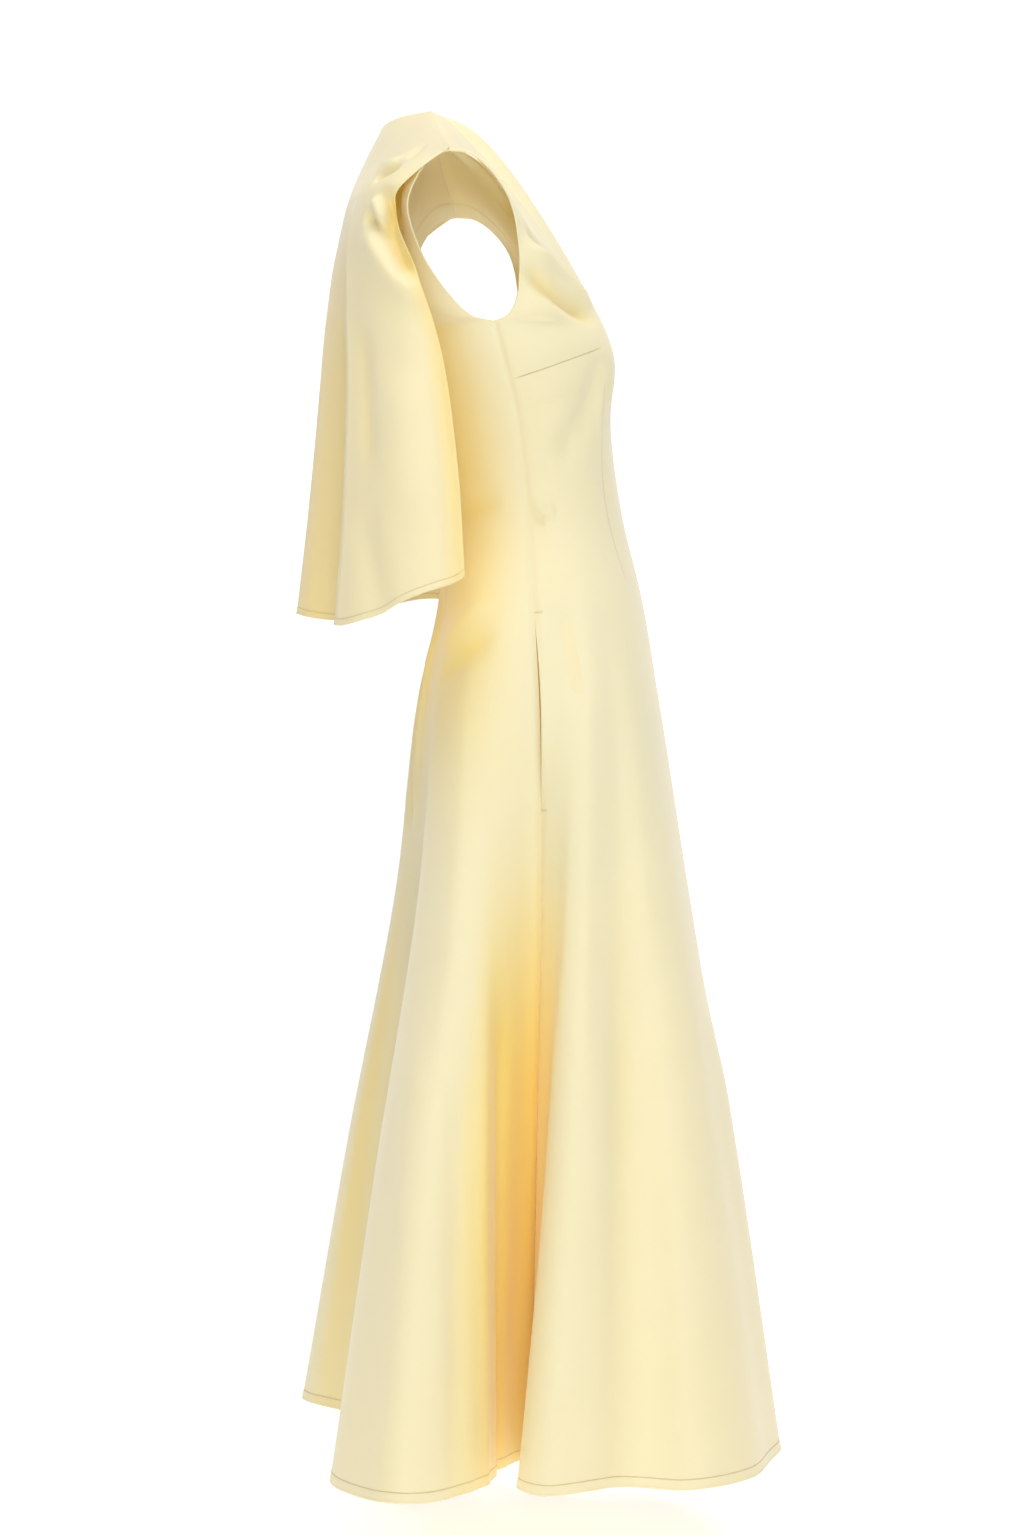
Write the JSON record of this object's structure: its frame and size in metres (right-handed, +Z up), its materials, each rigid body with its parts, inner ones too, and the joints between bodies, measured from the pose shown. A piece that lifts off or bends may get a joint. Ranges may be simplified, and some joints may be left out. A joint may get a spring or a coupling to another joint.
{
  "type": "cape dress",
  "caption": "Sleeveless flared midi dress in pale yellow cotton with a loose cape panel over the back, held in the shape it has when worn.",
  "frame": {"origin": "midway between the two neck points, the highest points of the shoulder seams, where the wearer's shoulders carry the dress", "axes": "+Z up, -Y the way the wearer faces, +X the wearer's left"},
  "size_m": [0.8229, 0.4557, 1.2685],
  "materials": {
    "dress_cotton": "smooth matte woven cotton, pale yellow",
    "cape_cotton": "smooth matte woven cotton, pale yellow",
    "pocketing": "the same cotton, doubled"
  },
  "bodies": {
    "root": {"front": "dress_cotton", "back": "dress_cotton", "cape": "cape_cotton", "pocket_right": "pocketing", "pocket_left": "pocketing"}
  },
  "joints": []
}
